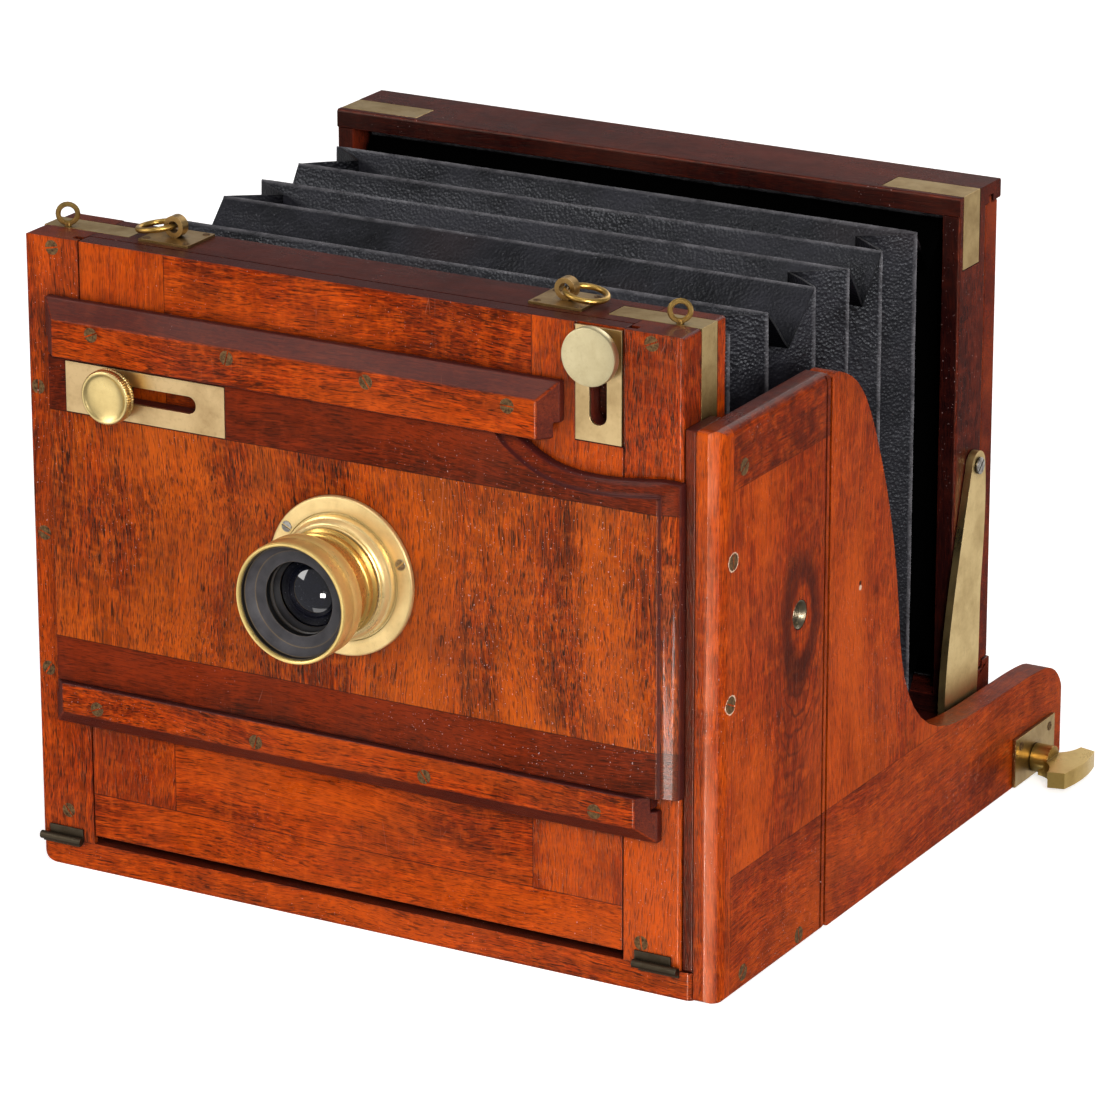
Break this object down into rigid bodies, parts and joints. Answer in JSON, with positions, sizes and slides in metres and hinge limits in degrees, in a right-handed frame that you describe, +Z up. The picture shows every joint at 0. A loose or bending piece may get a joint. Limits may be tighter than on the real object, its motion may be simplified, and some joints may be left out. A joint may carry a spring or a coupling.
{
  "type": "wooden view camera",
  "caption": "Wooden view camera with square leather bellows, rising and shifting front, sliding rear standard, focusing screen, brass lens and brass fittings.",
  "frame": {"origin": "middle of the front section's underside", "axes": "+Z up; -Y is the way the lens looks; +X is the side with the tall wing, on the right as seen from the front"},
  "size_m": [0.3832, 0.4079, 0.3114],
  "materials": {
    "mahogany": "french polished, orange-red with dark grain flecks",
    "dark_mahogany": "french polished, darkened purple-brown",
    "pale_mahogany": "french polished, paler orange",
    "brass": "lacquered, lightly worn",
    "aged_brass": "tarnished",
    "bellows_leather": "black, fine pebbled grain",
    "black_wood": "matt black stain",
    "black_lacquer": "satin black",
    "lens_glass": "polished",
    "ground_glass": "ground on one face"
  },
  "bodies": {
    "camera_body": {"base_board": "mahogany", "base_bush": "brass", "right_wing": "pale_mahogany", "wing_spacer": "dark_mahogany", "side_bush": "brass", "front_left_stile": "mahogany", "front_right_stile": "mahogany", "front_top_rail": "dark_mahogany", "front_bottom_rail": "dark_mahogany", "front_left_strap": "aged_brass", "front_right_strap": "aged_brass", "left_corner_hinge": "aged_brass", "right_corner_hinge": "aged_brass", "left_screw_eye": "brass", "right_screw_eye": "brass", "left_ring_plate": "aged_brass", "right_ring_plate": "aged_brass", "left_front_runner": "dark_mahogany", "right_front_runner": "dark_mahogany", "tail_floor": "mahogany", "tail_wing": "pale_mahogany", "left_tail_runner": "dark_mahogany", "right_tail_runner": "dark_mahogany", "latch_plate": "brass", "bellows": "bellows_leather", "bellows_front_batten": "black_wood"},
    "rising_front": {"rising_panel": "mahogany", "rise_slot_plate": "brass", "upper_guide_rail": "mahogany", "lower_guide_rail": "mahogany"},
    "cross_front": {"lens_board": "mahogany", "shift_slot_plate": "brass", "lens_flange": "brass", "lens_barrel": "brass", "lens_hood": "brass", "lens_baffle": "black_lacquer", "front_glass": "lens_glass", "rear_glass": "lens_glass"},
    "rise_clamp": {"rise_knob": "brass"},
    "shift_clamp": {"shift_knob": "brass"},
    "left_ring": {"left_strap_ring": "brass"},
    "right_ring": {"right_strap_ring": "brass"},
    "latch": {"latch_lever": "brass"},
    "rear_standard": {"carriage_board": "dark_mahogany", "rear_top_rail": "dark_mahogany", "rear_bottom_rail": "dark_mahogany", "rear_left_side": "dark_mahogany", "rear_right_side": "dark_mahogany", "rear_left_strap": "aged_brass", "rear_right_strap": "aged_brass", "left_strut_pivot": "aged_brass", "right_strut_pivot": "aged_brass", "left_strut_stud": "aged_brass", "right_strut_stud": "aged_brass", "bellows_rear_batten": "black_wood"},
    "left_brace": {"left_strut": "brass"},
    "right_brace": {"right_strut": "brass"},
    "screen": {"screen_frame": "mahogany", "ground_glass": "ground_glass"}
  },
  "joints": [
    {"name": "rear_focus", "type": "slide", "parent": "camera_body", "child": "rear_standard", "axis": [0, 1, 0], "range_m": [-0.2, 0], "deforming": ["bellows"]},
    {"name": "front_rise", "type": "slide", "parent": "camera_body", "child": "rising_front", "axis": [0, 0, 1], "range_m": [0, 0.028]},
    {"name": "front_shift", "type": "slide", "parent": "rising_front", "child": "cross_front", "axis": [1, 0, 0], "range_m": [-0.036, 0]},
    {"name": "rise_knob_turn", "type": "hinge", "parent": "camera_body", "child": "rise_clamp", "pos_m": [0.1255, -0.0517, 0.288], "axis": [0, -1, 0], "range_deg": [0, 180]},
    {"name": "shift_knob_turn", "type": "hinge", "parent": "rising_front", "child": "shift_clamp", "pos_m": [-0.114, -0.0517, 0.2356], "axis": [0, -1, 0], "range_deg": [0, 180]},
    {"name": "screen_slide", "type": "slide", "parent": "rear_standard", "child": "screen", "axis": [1, 0, 0], "range_m": [0, 0.3]},
    {"name": "left_strut_swing", "type": "hinge", "parent": "rear_standard", "child": "left_brace", "pos_m": [-0.1687, 0.2318, 0.1637], "axis": [-1, 0, 0], "range_deg": [0, 90]},
    {"name": "right_strut_swing", "type": "hinge", "parent": "rear_standard", "child": "right_brace", "pos_m": [0.1687, 0.2318, 0.1637], "axis": [-1, 0, 0], "range_deg": [0, 90]},
    {"name": "latch_turn", "type": "hinge", "parent": "camera_body", "child": "latch", "pos_m": [0.186, 0.2693, 0.009], "axis": [1, 0, 0], "range_deg": [0, 90]},
    {"name": "left_ring_swing", "type": "hinge", "parent": "camera_body", "child": "left_ring", "pos_m": [-0.1015, -0.0277, 0.306], "axis": [0, 1, 0], "range_deg": [0, 150]},
    {"name": "right_ring_swing", "type": "hinge", "parent": "camera_body", "child": "right_ring", "pos_m": [0.097, -0.0277, 0.306], "axis": [0, -1, 0], "range_deg": [0, 150]}
  ]
}
